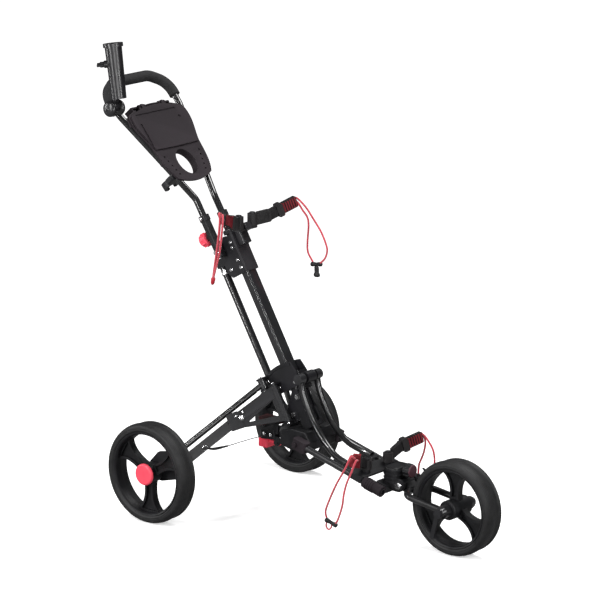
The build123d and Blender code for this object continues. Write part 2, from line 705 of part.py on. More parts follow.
with BuildPart() as curved_tubes:
    for sign in (-1, 1):
        with BuildLine() as curve:
            Spline(
                fold_pivot + Vector(2, sign * curve_y, -8),
                at(280, sign * curve_y, 272),
                at(310, sign * (curve_y + 1), 227),
                at(352, sign * (curve_y + 7), 190),
                at(410, sign * (rail_y - 17.5), 170),
                tangents=[Vector(0.15, 0, -1), rail_ahead],
            )
        path = curve.wire()
        with BuildSketch(Plane(origin=path @ 0, z_dir=path % 0)) as section:
            Circle(tube_r)
            Circle(tube_r - tube_wall, mode=Mode.SUBTRACT)
        sweep(section.sketch, path=path)
        # collar on the crossbar, and the plate that joins the tube to its rail
        bar(fold_pivot + Vector(0, sign * (curve_y - 8), 0), (0, sign, 0), 12.0, 19)
        block(rail_point(124, sign * 49, -1), rail_ahead, rail_top, (44, 22, 18), 5)
    bar(fold_pivot + Vector(0, -curve_y, 0), (0, 1, 0), tube_r, 2 * curve_y)
    block(rail_point(124, 0, -7), rail_ahead, rail_top, (24, 84, 4), 2)
    for sign in (-1, 1):
        bar(rail_point(0, sign * rail_y), rail_ahead, tube_r, rail_long, Mode.SUBTRACT)
save(curved_tubes.part, "curved_tubes")

with BuildPart() as lower_rails:
    for sign in (-1, 1):
        tube([rail_point(0, sign * rail_y), rail_point(rail_long, sign * rail_y)], tube_r, tube_wall)
save(lower_rails.part, "lower_rails")

with BuildPart() as rail_end_caps:
    # rear ends of the rails, which seat against the housing, each with its bolt
    for sign in (-1, 1):
        block(rail_point(8, sign * rail_y), rail_ahead, rail_top, (40, 22, 26), 6)
        bar(rail_point(-2, sign * (rail_y + 10)), (0, sign, 0), 6.0, 6)
        bar(rail_point(0, sign * rail_y), rail_ahead, tube_r, 60, Mode.SUBTRACT)

cover_start = 206.0

with BuildPart() as rail_covers:
    # ribbed sleeves over the rails' front ends
    for sign in (-1, 1):
        bar(rail_point(cover_start, sign * rail_y), rail_ahead, 13.5, 54)
        for ring in range(4):
            bar(rail_point(cover_start + 8 + 6 * ring, sign * rail_y), rail_ahead, 14.6, 2.6)
    for sign in (-1, 1):
        bar(rail_point(0, sign * rail_y), rail_ahead, tube_r, rail_long, Mode.SUBTRACT)

with BuildPart() as rail_fittings:
    add(rail_end_caps.part)
    add(rail_covers.part)
save(rail_fittings.part, "rail_fittings")

fork_pivot = at(548, 0, 140)
housing_centre = at(522, 0, 154)
knob_z = 172.0

with BuildPart() as front_housing:
    # ribbed block between the rails, with cheeks for the fork's hinge
    block(housing_centre, (1, 0, 0), (0, 0, 1), (40, 62, 50), 12)
    fillet(front_housing.faces().sort_by(Axis.Z)[-1].edges(), 6)
    for ring in range(5):
        block(housing_centre + Vector(0, 0, -18 + 9 * ring), (1, 0, 0), (0, 0, 1), (43, 65, 3.5), 13)
    block(rail_point(240, 0, -2), rail_ahead, rail_top, (30, 2 * rail_y - 32, 20), 5)
    for sign in (-1, 1):
        block(
            fork_pivot + Vector(-6, sign * 26.5, 0), (1, 0, 0), (0, 1, 0), (38, 30, 7), 12,
        )
    bar(fork_pivot + Vector(0, -31, 0), (0, 1, 0), 13.5, 62)
    bar(fork_pivot + Vector(0, -22.5, 0), (0, 1, 0), 19.0, 45, Mode.SUBTRACT)
    bar(fork_pivot + Vector(0, -40, 0), (0, 1, 0), 5.0, 80, Mode.SUBTRACT)
    bar(at(528, 0, knob_z), (1, 0, 0), 4.0 + running, 40, Mode.SUBTRACT)
save(front_housing.part, "front_housing")

with BuildPart() as fork_pin:
    bolt(fork_pivot, (0, -1, 0), 5.0, 62, 9, 4)
save(fork_pin.part, "fork_pin")

with BuildPart() as front_knob:
    bar(at(530, 0, knob_z), (1, 0, 0), 4.0, 22)
    bar(at(547, 0, knob_z), (1, 0, 0), 15.0, 22)
    fillet(front_knob.edges().filter_by(GeomType.CIRCLE).group_by(SortBy.RADIUS)[-1], 2)
    for turn in range(10):
        angle = radians(36 * turn)
        bar(at(550, 15 * cos(angle), knob_z + 15 * sin(angle)), (1, 0, 0), 1.8, 15)
save(front_knob.part, "front_knob")

cradle_ahead = 184.0
lower_hinge_y = 40.0
lower_hinge = rail_point(cradle_ahead, 0, 29)

with BuildPart() as lower_cradle:
    # saddle across the rails with a pin for each arm
    block(rail_point(cradle_ahead, 0, 11), rail_ahead, rail_top, (42, 2 * rail_y + 20, 5), 6)
    for sign in (-1, 1):
        block(rail_point(cradle_ahead, sign * rail_y, 5), rail_ahead, rail_top, (40, 26, 16), 5)
        foot = lower_hinge + Vector(0, sign * lower_hinge_y, -17)
        top = 17 + lower_barrel / 2 + side_gap
        bar(foot, (0, 0, 1), arm_pin_r, top + 2)
        bar(foot + Vector(0, 0, top), (0, 0, 1), 7.0, 3)
        bar(foot, (0, 0, 1), 9.0, 17 - lower_barrel / 2 - side_gap)
    for sign in (-1, 1):
        bar(rail_point(0, sign * rail_y), rail_ahead, tube_r, rail_long, Mode.SUBTRACT)
save(lower_cradle.part, "lower_cradle")

lower_knee = at(470, -78, 196)
lower_tip = at(492, -132, 212)

with BuildPart() as lower_arm_right:
    cradle_arm(lower_hinge + Vector(0, -lower_hinge_y, 0), lower_knee, lower_tip, lower_barrel)
save(lower_arm_right.part, "lower_arm_right")

with BuildPart() as lower_arm_left:
    mirror(lower_arm_right.part, about=Plane.XZ)
save(lower_arm_left.part, "lower_arm_left")

with BuildPart() as lower_cord_right:
    start = lower_tip + Vector(0, 2, -6)
    cord(
        [start, start + Vector(-10, -10, -20), start + Vector(-44, -2, -90), start + Vector(-70, 2, -158)],
        2.5,
    )
    cord(
        [start + Vector(8, 2, -4), start + Vector(2, -10, -24), start + Vector(-28, -2, -92),
         start + Vector(-62, 2, -158)],
        2.5,
    )
    block(start + Vector(-68, 2, -164), (1, 0, 0), (0, 0, 1), (24, 7, 9), 2)
    block(start + Vector(-68, 2, -172), (1, 0, 0), (0, 0, 1), (12, 6, 14), 2)
save(lower_cord_right.part, "lower_cord_right")

with BuildPart() as lower_cord_left:
    start = lower_tip + Vector(0, 2 * 132, 0)
    cord([start, start + Vector(12, 6, -4), start + Vector(18, 4, -50), start + Vector(10, -6, -92)], 2.5)
    cord(
        [start + Vector(-4, 0, 6), start + Vector(18, 8, 0), start + Vector(28, 5, -44),
         start + Vector(16, -6, -92)],
        2.5,
    )
    block(start + Vector(13, -6, -96), (1, 0, 0), (0, 0, 1), (20, 7, 9), 2)
save(lower_cord_left.part, "lower_cord_left")

# ---- fork and front wheel -------------------------------------------------------------------------------
fork_y = 45.0
fork_crown = at(569.5, 0, 128)

with BuildPart() as fork:
    tube(
        [
            front_axle + Vector(6, -fork_y, 0), fork_crown + Vector(0, -fork_y, 0),
            fork_crown + Vector(0, fork_y, 0), front_axle + Vector(6, fork_y, 0),
        ],
        tube_r, tube_wall, 34,
    )
    for sign in (-1, 1):
        bar(front_axle + Vector(0, sign * (fork_y - 9), 0), (0, sign, 0), 15.0, 18)
    # neck from the crown to the hinge barrel
    block((fork_crown + fork_pivot) / 2, fork_crown - fork_pivot, (0, 1, 0), (26, 20, 34), 4)
    bar(fork_pivot + Vector(0, -22, 0), (0, 1, 0), 12.0, 44)
    bar(fork_pivot + Vector(0, -40, 0), (0, 1, 0), 5.0 + running, 80, Mode.SUBTRACT)
    bar(front_axle + Vector(0, -60, 0), (0, 1, 0), 6.0, 120, Mode.SUBTRACT)
save(fork.part, "fork")

with BuildPart() as front_axle_bolt:
    bar(front_axle + Vector(0, -56, 0), (0, 1, 0), 6.0, 114)
    bar(front_axle + Vector(0, 54, 0), (0, 1, 0), 11.0, 8)
    bar(front_axle + Vector(0, -63, 0), (0, 1, 0), 9.0, 9)
save(front_axle_bolt.part, "front_axle_bolt")

with BuildPart() as quick_release_lever:
    bar(front_axle + Vector(0, -63.5, 0), (0, -1, 0), 10.0, 9)
    block(
        front_axle + Vector(-8, -70, -32), (0.24, 0, 0.97), (0, 1, 0), (62, 11, 5), 5,
    )
save(quick_release_lever.part, "quick_release_lever")


def wheel_profile(plane, points):
    """One revolved ring of a wheel; points are given as across the wheel and out from its axle."""
    with BuildSketch(plane) as section:
        with BuildLine():
            Polyline(*points, close=True)
        make_face()
    revolve(section.sketch, axis=Axis(plane.origin, (0, 1, 0)))


def tyre(plane, half, radius, depth):
    """A solid tyre with a crowned tread and rounded shoulders."""
    with BuildSketch(plane) as section:
        with BuildLine():
            Line((-half + 3, radius - depth), (half - 3, radius - depth))
            Line((half - 3, radius - depth), (half, radius - depth + 4))
            Line((half, radius - depth + 4), (half, radius - 9))
            Spline(
                (half, radius - 9), (half - 5, radius - 2.2), (0, radius), (-half + 5, radius - 2.2),
                (-half, radius - 9), tangents=[(0, 1), (0, -1)],
            )
            Line((-half, radius - 9), (-half, radius - depth + 4))
            Line((-half, radius - depth + 4), (-half + 3, radius - depth))
        make_face()
    revolve(section.sketch, axis=Axis(plane.origin, (0, 1, 0)))


def spoked_rim(centre, half, inner, outer, hub_r, hub_low, hub_high, bore, first_angle):
    """A moulded rim with a deep band, three flared ribbed spokes and a hub; across is toward -Y."""
    plane = Plane(origin=centre, x_dir=(0, -1, 0), z_dir=(-1, 0, 0))
    wheel_profile(
        plane,
        [(-half + 3, outer), (half - 3, outer), (half - 1, inner + 2.5), (half - 2, inner),
         (half - 6, inner - 2.5), (3, inner - 4), (-half + 6, inner - 2.5), (-half + 2, inner),
         (-half + 1, inner + 2.5)],
    )
    wheel_profile(
        plane,
        [(hub_low, bore), (hub_high, bore), (hub_high, hub_r - 2), (hub_high - 2, hub_r),
         (hub_low + 2, hub_r), (hub_low, hub_r - 2)],
    )
    flare = ((inner + 1) ** 2 - 36**2) ** 0.5
    for number in range(3):
        angle = radians(first_angle + 120 * number)
        turn = Plane(origin=centre, x_dir=(cos(angle), 0, sin(angle)), z_dir=(0, -1, 0))
        with BuildSketch(turn.offset(-9)) as spoke:
            with BuildLine():
                right = Spline((hub_r - 3, -13), (hub_r + 22, -12), (inner - 18, -22), (flare, -36))
                rim_arc = ThreePointArc(right @ 1, (inner + 1, 0), (flare, 36))
                left = Spline(rim_arc @ 1, (inner - 18, 22), (hub_r + 22, 12), (hub_r - 3, 13))
                Line(left @ 1, right @ 0)
            make_face()
        extrude(spoke.sketch, amount=18)
        for level, direction in ((9.0, -1), (-9.0, 1)):
            with BuildSketch(turn.offset(level)) as pocket:
                with BuildLine():
                    low = Spline((hub_r + 4, -7), (hub_r + 22, -6), (inner - 20, -14), (inner - 8, -24))
                    end = ThreePointArc(low @ 1, (inner - 7, 0), (inner - 8, 24))
                    high = Spline(end @ 1, (inner - 20, 14), (hub_r + 22, 6), (hub_r + 4, 7))
                    Line(high @ 1, low @ 0)
                make_face()
            extrude(pocket.sketch, amount=direction * 6, mode=Mode.SUBTRACT)
    bar(centre + Vector(0, 60, 0), (0, -1, 0), bore, 120, Mode.SUBTRACT)


front_hub_bore = 11.0
front_hub_half = 34.0
bearing_wide = 7.0
axle_r = 6.0

with BuildPart() as front_rim:
    spoked_rim(
        front_axle, front_width / 2 - 1, 89, 93.5, 23,
        -front_hub_half, front_hub_half, front_hub_bore, 90,
    )
save(front_rim.part, "front_rim")

with BuildPart() as front_bearings:
    for sign in (-1, 1):
        bar(front_axle + Vector(0, sign * front_hub_half, 0), (0, -sign, 0), front_hub_bore, bearing_wide)
    bar(front_axle + Vector(0, -60, 0), (0, 1, 0), axle_r + running, 120, Mode.SUBTRACT)
save(front_bearings.part, "front_bearings")

with BuildPart() as front_tyre:
    tyre(Plane(origin=front_axle, x_dir=(0, -1, 0), z_dir=(-1, 0, 0)), front_width / 2, front_radius, 17.5)
save(front_tyre.part, "front_tyre")

# ---- rear legs: a parallelogram that folds about axes parallel to the main tube -------------------------
strut_run = Vector(-125, -200, -167)
thick_start = spine_point(thick_axis[0], -leg_axis_y, thick_axis[1])
thin_start = spine_point(thin_axis[0], -leg_axis_y, thin_axis[1])
thick_end = thick_start + strut_run
thin_end = thin_start + strut_run
eye_r = 9.0
outward = strut_run - spine_up * strut_run.dot(spine_up)
leg_plane = Plane(origin=thick_start, x_dir=outward, z_dir=outward.cross(spine_up))
strut_out = outward.length
strut_drop = strut_run.dot(spine_up)


collar_out = 116.0            # the bracket's collar: out from the fold axis, and along the spine
collar_mid = strut_drop * collar_out / strut_out
barrel_top = thick_top - side_gap - thick_axis[1]
barrel_bottom = thick_bottom + side_gap - thick_axis[1]

with BuildPart() as leg_bracket_right:
    # barrel along the fold axis, two arms with an open triangle between, and a collar
    bar(thick_start + spine_up * barrel_bottom, spine_up, eye_r, barrel_top - barrel_bottom)
    with BuildSketch(leg_plane.offset(-7)) as arms:
        with BuildLine():
            Polyline(
                (0, barrel_top), (14, barrel_top - 2), (collar_out - 14, collar_mid + 18),
                (collar_out + 14, collar_mid + 12), (collar_out + 14, collar_mid - 20),
                (collar_out - 16, collar_mid - 22), (0, barrel_bottom), close=True,
            )
        make_face()
        with BuildLine():
            Polyline(
                (15, -22), (collar_out - 32, collar_mid - 13),
                (collar_out - 32, collar_mid - 15), (15, barrel_bottom + 19), close=True,
            )
        make_face(mode=Mode.SUBTRACT)
    extrude(amount=14)
    block(
        thick_start + strut_run * (collar_out / strut_out), outward, leg_plane.z_dir,
        (30, 40, 22), 4,
    )
    for level in (-8.5, 7.0):
        with BuildSketch(leg_plane.offset(level)) as relief:
            with BuildLine():
                Polyline(
                    (8, -10), (collar_out - 22, collar_mid + 4),
                    (collar_out - 22, collar_mid - 4), (8, -19), close=True,
                )
            make_face()
        extrude(relief.sketch, amount=1.5)
    # socket for the strut, and the bore for the fold pin
    block(
        thick_start + strut_run * ((collar_out + 40) / strut_out), strut_run, leg_plane.z_dir,
        (108, 24, 12), mode=Mode.SUBTRACT,
    )
    bar(thick_start - spine_up * 120, spine_up, leg_pin_r + running, 200, Mode.SUBTRACT)
save(leg_bracket_right.part, "leg_bracket_right")

with BuildPart() as leg_strut_right:
    block(
        thick_start + strut_run * ((collar_out - 10 + strut_out) / 2 / strut_out), strut_run,
        leg_plane.z_dir, ((strut_out - collar_out + 10) * strut_run.length / strut_out - 8, 24, 12), 3,
    )
    for sign in (-1, 1):
        bar(thick_end + spine_up * sign * thin_eye / 2, spine_up * sign, 20.0, 20, Mode.SUBTRACT)
    bar(thick_end - spine_up * thin_eye / 2, spine_up, eye_r, thin_eye)
    bar(thick_end - spine_up * 60, spine_up, leg_pin_r + running, 120, Mode.SUBTRACT)
save(leg_strut_right.part, "leg_strut_right")

with BuildPart() as thin_strut_right:
    tube([thin_start, thin_end], 7.0)
    for end in (thin_start, thin_end):
        bar(end - spine_up * thin_eye / 2, spine_up, eye_r, thin_eye)
        for sign in (-1, 1):
            bar(end + spine_up * sign * thin_eye / 2, spine_up * sign, 20.0, 20, Mode.SUBTRACT)
    for end in (thin_start, thin_end):
        bar(end - spine_up * 60, spine_up, leg_pin_r + running, 120, Mode.SUBTRACT)
save(thin_strut_right.part, "thin_strut_right")

carrier_y = -252.0
wheel_y = rear_track / 2
hub_inner = 15.0
hub_outer = 21.0

with BuildPart() as wheel_carrier_right:
    # plate beside the wheel, tabs above and below each strut's eye, and the axle boss
    carrier_plane = Plane(origin=at(0, carrier_y, 0), x_dir=(1, 0, 0), z_dir=(0, 1, 0))
    with BuildSketch(carrier_plane) as carrier_outline:
        with BuildLine():
            Polyline(
                (18, -98), (-4, -100), (-24, -118), (-20, -140),
                (6, -168), (48, -176), (78, -150), (70, -112), close=True,
            )
        make_face()
        fillet(carrier_outline.vertices(), 9)
    extrude(amount=6)
    for end in (thick_end, thin_end):
        for sign in (-1, 1):
            centre = end + spine_up * sign * (thin_eye / 2 + side_gap + tab / 2)
            block(centre + Vector(0, -1, 0), spine_front, spine_up, (18, 18, tab), 4)
    bar(rear_axle + Vector(0, carrier_y + 6, 0), (0, 1, 0), 14.0, 6)
    # riveted pins that the struts turn on, and the stub axle
    for end in (thick_end, thin_end):
        bar(end - spine_up * (thin_eye / 2 + tab + 3), spine_up, leg_pin_r, thin_eye + 2 * tab + 6)
    bar(rear_axle + Vector(0, carrier_y + 14, 0), (0, -1, 0), axle_r, wheel_y + hub_outer + carrier_y + 13)
save(wheel_carrier_right.part, "wheel_carrier_right")

right_wheel = rear_axle + Vector(0, -wheel_y, 0)

with BuildPart() as rear_rim_right:
    spoked_rim(right_wheel, rear_width / 2, 97, 101, 24, -hub_inner, hub_outer, axle_r + running, 30)
save(rear_rim_right.part, "rear_rim_right")

with BuildPart() as rear_tyre_right:
    tyre(Plane(origin=right_wheel, x_dir=(0, -1, 0), z_dir=(-1, 0, 0)), rear_width / 2, rear_radius, 19)
save(rear_tyre_right.part, "rear_tyre_right")

with BuildPart() as hub_cap_right:
    bar(right_wheel + Vector(0, -hub_outer, 0), (0, -1, 0), 26.0, 8)
    fillet(hub_cap_right.faces().sort_by(Axis.Y)[0].edges(), 5)
save(hub_cap_right.part, "hub_cap_right")

# ---- left leg and wheel: mirror images ---------------------------------------------------
with BuildPart() as leg_bracket_left:
    mirror(leg_bracket_right.part, about=Plane.XZ)
save(leg_bracket_left.part, "leg_bracket_left")

with BuildPart() as leg_strut_left:
    mirror(leg_strut_right.part, about=Plane.XZ)
save(leg_strut_left.part, "leg_strut_left")

with BuildPart() as thin_strut_left:
    mirror(thin_strut_right.part, about=Plane.XZ)
save(thin_strut_left.part, "thin_strut_left")

with BuildPart() as wheel_carrier_left:
    mirror(wheel_carrier_right.part, about=Plane.XZ)
save(wheel_carrier_left.part, "wheel_carrier_left")

with BuildPart() as rear_rim_left:
    mirror(rear_rim_right.part, about=Plane.XZ)
save(rear_rim_left.part, "rear_rim_left")

with BuildPart() as rear_tyre_left:
    mirror(rear_tyre_right.part, about=Plane.XZ)
save(rear_tyre_left.part, "rear_tyre_left")

with BuildPart() as hub_cap_left:
    mirror(hub_cap_right.part, about=Plane.XZ)
save(hub_cap_left.part, "hub_cap_left")
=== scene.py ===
import json
import math

import bpy
from mathutils import Matrix, Vector


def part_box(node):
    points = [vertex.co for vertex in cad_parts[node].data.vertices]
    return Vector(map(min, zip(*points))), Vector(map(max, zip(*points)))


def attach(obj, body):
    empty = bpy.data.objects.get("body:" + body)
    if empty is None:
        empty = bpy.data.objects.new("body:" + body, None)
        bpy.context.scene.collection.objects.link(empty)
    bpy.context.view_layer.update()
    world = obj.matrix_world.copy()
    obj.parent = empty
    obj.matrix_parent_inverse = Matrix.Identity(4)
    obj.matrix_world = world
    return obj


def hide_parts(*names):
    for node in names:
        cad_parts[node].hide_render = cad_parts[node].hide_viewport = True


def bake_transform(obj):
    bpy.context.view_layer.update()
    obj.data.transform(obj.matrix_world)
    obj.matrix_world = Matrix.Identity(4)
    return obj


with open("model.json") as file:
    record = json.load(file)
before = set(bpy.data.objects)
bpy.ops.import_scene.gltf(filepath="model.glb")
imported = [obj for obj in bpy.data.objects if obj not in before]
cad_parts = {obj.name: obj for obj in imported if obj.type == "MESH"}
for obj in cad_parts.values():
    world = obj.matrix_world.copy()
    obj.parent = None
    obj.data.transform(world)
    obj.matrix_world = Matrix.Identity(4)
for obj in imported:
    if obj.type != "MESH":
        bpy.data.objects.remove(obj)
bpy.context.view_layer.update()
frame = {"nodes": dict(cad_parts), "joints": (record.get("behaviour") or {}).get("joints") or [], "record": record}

nodes = frame["nodes"]
joints = {joint["name"]: joint for joint in frame["joints"]}

MM = 0.001
UP = Vector((0, 0, 1))


# ---- places on the trolley, in millimetres from the rear axle ----------------------------
axle_x = joints["rear_right_wheel_spin"]["pos_m"][0]
fold_lean = math.radians(59.6)         # lean of the main tube
spine_front = Vector((math.sin(fold_lean), 0, math.cos(fold_lean)))
spine_up = Vector((-math.cos(fold_lean), 0, math.sin(fold_lean)))
console_lean = math.radians(47.9)      # lean of the console's face
console_out = Vector((math.sin(console_lean), 0, math.cos(console_lean)))
console_up = Vector((-math.cos(console_lean), 0, math.sin(console_lean)))
leg_lean = math.radians(58.0)          # lean of the handle's lower legs
leg_up = Vector((-math.cos(leg_lean), 0, math.sin(leg_lean)))
handle_pivot = Vector(joints["handle_fold"]["pos_m"])


def at(x, y, z):
    """A point measured in millimetres: ahead of the rear axle, left, and above the ground."""
    return Vector((axle_x + x * MM, y * MM, z * MM))


def on_spine(front, left, up):
    """A point measured from the main tube's centreline."""
    return at(198.5, 0, 361) + (spine_front * front + spine_up * up) * MM + Vector((0, left * MM, 0))


def on_console(left, up, out=0):
    """A point measured on the console's face."""
    return at(-216.6, 0, 889.6) + (console_up * up + console_out * out) * MM + Vector((0, left * MM, 0))


# ---- materials -------------------------------------------------------------------------
def new_material(name):
    """An empty node material with its shader and a coordinate source."""
    material = bpy.data.materials.new(name)
    material.use_nodes = True
    tree = material.node_tree
    shader = tree.nodes["Principled BSDF"]
    coords = tree.nodes.new("ShaderNodeTexCoord")
    return material, tree, shader, coords


def noise_node(tree, coords, scale, detail=4.0, rough=0.55):
    """A noise texture in object space; scale is in features per metre."""
    node = tree.nodes.new("ShaderNodeTexNoise")
    node.inputs["Scale"].default_value = scale
    node.inputs["Detail"].default_value = detail
    node.inputs["Roughness"].default_value = rough
    tree.links.new(coords.outputs["Object"], node.inputs["Vector"])
    return node


def ramp(tree, source, low, high, low_at=0.35, high_at=0.65):
    """A two-colour ramp driven by a value."""
    node = tree.nodes.new("ShaderNodeValToRGB")
    node.color_ramp.elements[0].position = low_at
    node.color_ramp.elements[0].color = (*low, 1)
    node.color_ramp.elements[1].position = high_at
    node.color_ramp.elements[1].color = (*high, 1)
    tree.links.new(source, node.inputs["Fac"])
    return node


def map_range(tree, source, low, high, from_low=0.3, from_high=0.7):
    """A value remapped to another range."""
    node = tree.nodes.new("ShaderNodeMapRange")
    node.inputs["From Min"].default_value = from_low
    node.inputs["From Max"].default_value = from_high
    node.inputs["To Min"].default_value = low
    node.inputs["To Max"].default_value = high
    tree.links.new(source, node.inputs["Value"])
    return node


def bump(tree, shader, height, strength, distance, below=None):
    """A bump that feeds the shader's normal; one bump can sit on another."""
    node = tree.nodes.new("ShaderNodeBump")
    node.inputs["Strength"].default_value = strength
    node.inputs["Distance"].default_value = distance
    tree.links.new(height, node.inputs["Height"])
    if below is not None:
        tree.links.new(below.outputs["Normal"], node.inputs["Normal"])
    tree.links.new(node.outputs["Normal"], shader.inputs["Normal"])
    return node


def worn_edges(tree, base, wear, amount):
    """Mixes a lighter wear colour in along convex edges."""
    geometry = tree.nodes.new("ShaderNodeNewGeometry")
    edge = map_range(tree, geometry.outputs["Pointiness"], 0, amount, 0.52, 0.62)
    mix = tree.nodes.new("ShaderNodeMix")
    mix.data_type = "RGBA"
    tree.links.new(edge.outputs["Result"], mix.inputs["Factor"])
    tree.links.new(base, mix.inputs["A"])
    mix.inputs["B"].default_value = (*wear, 1)
    return mix.outputs["Result"]


def coated_metal(name, colour, lighter, roughness, coat):
    """Powder-coated steel: soft orange peel, faint dust and rubbed edges."""
    material, tree, shader, coords = new_material(name)
    peel = noise_node(tree, coords, 900, 2)
    dust = noise_node(tree, coords, 18, 6)
    base = ramp(tree, dust.outputs["Fac"], colour, lighter)
    rubbed = worn_edges(tree, base.outputs["Color"], [3.5 * c for c in lighter], 0.35)
    tree.links.new(rubbed, shader.inputs["Base Color"])
    rough = map_range(tree, dust.outputs["Fac"], roughness * 0.85, roughness * 1.25)
    tree.links.new(rough.outputs["Result"], shader.inputs["Roughness"])
    shader.inputs["Coat Weight"].default_value = coat
    shader.inputs["Coat Roughness"].default_value = 0.1
    shader.inputs["Specular IOR Level"].default_value = 0.3
    bump(tree, shader, peel.outputs["Fac"], 0.04, 0.0003)
    return material


def moulded_plastic(name, colour, lighter, roughness, grain=1400, grain_strength=0.35, wear=0.4, shine=0.22):
    """Moulded plastic with a fine spark-eroded grain and handling marks."""
    material, tree, shader, coords = new_material(name)
    fine = noise_node(tree, coords, grain, 3, 0.7)
    smudge = noise_node(tree, coords, 30, 5)
    base = ramp(tree, smudge.outputs["Fac"], colour, lighter)
    rubbed = worn_edges(tree, base.outputs["Color"], [2.4 * c for c in lighter], wear)
    tree.links.new(rubbed, shader.inputs["Base Color"])
    rough = map_range(tree, smudge.outputs["Fac"], roughness * 0.85, min(1, roughness * 1.2))
    tree.links.new(rough.outputs["Result"], shader.inputs["Roughness"])
    shader.inputs["Specular IOR Level"].default_value = shine
    bump(tree, shader, fine.outputs["Fac"], grain_strength, 0.0004)
    return material


def rubber(name, colour, lighter, roughness, axle=None):
    """Foam rubber with pores and scuffs; a tyre also gets faint mould rings about its axle."""
    material, tree, shader, coords = new_material(name)
    pores = noise_node(tree, coords, 1800, 4, 0.8)
    scuff = noise_node(tree, coords, 60, 6, 0.65)
    base = ramp(tree, scuff.outputs["Fac"], colour, lighter)
    tree.links.new(base.outputs["Color"], shader.inputs["Base Color"])
    rough = map_range(tree, scuff.outputs["Fac"], roughness * 0.9, min(1, roughness * 1.1))
    tree.links.new(rough.outputs["Result"], shader.inputs["Roughness"])
    shader.inputs["Specular IOR Level"].default_value = 0.25
    pored = bump(tree, shader, pores.outputs["Fac"], 0.4, 0.0004)
    if axle is not None:
        bump(tree, shader, ring_pattern(tree, coords, axle), 0.5, 0.0006, pored)
    return material


def ring_pattern(tree, coords, axle):
    """Rings about a wheel's axle, evenly spaced over the tread and down the walls."""
    local = tree.nodes.new("ShaderNodeVectorMath")
    local.operation = "SUBTRACT"
    local.inputs[1].default_value = axle
    tree.links.new(coords.outputs["Object"], local.inputs[0])
    parts = tree.nodes.new("ShaderNodeSeparateXYZ")
    tree.links.new(local.outputs["Vector"], parts.inputs["Vector"])
    flat = tree.nodes.new("ShaderNodeCombineXYZ")
    tree.links.new(parts.outputs["X"], flat.inputs["X"])
    tree.links.new(parts.outputs["Z"], flat.inputs["Z"])
    radius = tree.nodes.new("ShaderNodeVectorMath")
    radius.operation = "LENGTH"
    tree.links.new(flat.outputs["Vector"], radius.inputs[0])
    side = tree.nodes.new("ShaderNodeMath")
    side.operation = "ABSOLUTE"
    tree.links.new(parts.outputs["Y"], side.inputs[0])
    total = tree.nodes.new("ShaderNodeMath")
    total.operation = "SUBTRACT"
    tree.links.new(radius.outputs["Value"], total.inputs[0])
    tree.links.new(side.outputs["Value"], total.inputs[1])
    turns = tree.nodes.new("ShaderNodeMath")
    turns.operation = "MULTIPLY"
    turns.inputs[1].default_value = 2 * math.pi / 0.005
    tree.links.new(total.outputs["Value"], turns.inputs[0])
    wave = tree.nodes.new("ShaderNodeMath")
    wave.operation = "SINE"
    tree.links.new(turns.outputs["Value"], wave.inputs[0])
    groove = map_range(tree, wave.outputs["Value"], 0, 1, -1.0, -0.6)
    return groove.outputs["Result"]


def bare_metal(name, colour, roughness):
    """Zinc-plated steel with fine scratches."""
    material, tree, shader, coords = new_material(name)
    scratch = noise_node(tree, coords, 700, 8, 0.8)
    tint = ramp(tree, scratch.outputs["Fac"], [0.8 * c for c in colour], colour)
    tree.links.new(tint.outputs["Color"], shader.inputs["Base Color"])
    shader.inputs["Metallic"].default_value = 1.0
    rough = map_range(tree, scratch.outputs["Fac"], roughness * 0.7, roughness * 1.4)
    tree.links.new(rough.outputs["Result"], shader.inputs["Roughness"])
    bump(tree, shader, scratch.outputs["Fac"], 0.15, 0.0002)
    return material


def braided(name, colour, darker):
    """Woven cover of an elastic cord: two crossed sets of strands."""
    material, tree, shader, coords = new_material(name)
    strands = []
    for turn in (40, -40):
        spin = tree.nodes.new("ShaderNodeMapping")
        spin.inputs["Rotation"].default_value = (math.radians(turn), math.radians(turn), 0)
        tree.links.new(coords.outputs["Object"], spin.inputs["Vector"])
        wave = tree.nodes.new("ShaderNodeTexWave")
        wave.inputs["Scale"].default_value = 260
        tree.links.new(spin.outputs["Vector"], wave.inputs["Vector"])
        strands.append(wave.outputs["Fac"])
    weave = tree.nodes.new("ShaderNodeMath")
    weave.operation = "MAXIMUM"
    tree.links.new(strands[0], weave.inputs[0])
    tree.links.new(strands[1], weave.inputs[1])
    base = ramp(tree, weave.outputs["Value"], darker, colour, 0.2, 0.8)
    tree.links.new(base.outputs["Color"], shader.inputs["Base Color"])
    shader.inputs["Roughness"].default_value = 0.75
    shader.inputs["Sheen Weight"].default_value = 0.4
    bump(tree, shader, weave.outputs["Value"], 0.6, 0.0005)
    return material


finish = {
    "gloss_black": coated_metal("gloss_black", (0.003, 0.003, 0.0035), (0.006, 0.006, 0.007), 0.3, 0.8),
    "black_plastic": moulded_plastic("black_plastic", (0.005, 0.005, 0.0056), (0.009, 0.009, 0.0102), 0.42),
    "grey_plastic": moulded_plastic(
        "grey_plastic", (0.0135, 0.0105, 0.0125), (0.019, 0.0155, 0.018), 0.62, wear=0.3, shine=0.08),
    "arm_plastic": moulded_plastic("arm_plastic", (0.008, 0.0075, 0.008), (0.014, 0.013, 0.0135), 0.42),
    "red_plastic": moulded_plastic(
        "red_plastic", (0.72, 0.055, 0.09), (0.80, 0.075, 0.115), 0.38,
        grain_strength=0.2, wear=0.1, shine=0.3),
    "red_cord": braided("red_cord", (0.52, 0.035, 0.06), (0.24, 0.012, 0.022)),
    "foam": rubber("foam", (0.010, 0.010, 0.0105), (0.021, 0.021, 0.022), 0.85),
    "tyre": rubber("tyre", (0.010, 0.010, 0.011), (0.018, 0.018, 0.0195), 0.6),
    "zinc": bare_metal("zinc", (0.80, 0.80, 0.81), 0.22),
}
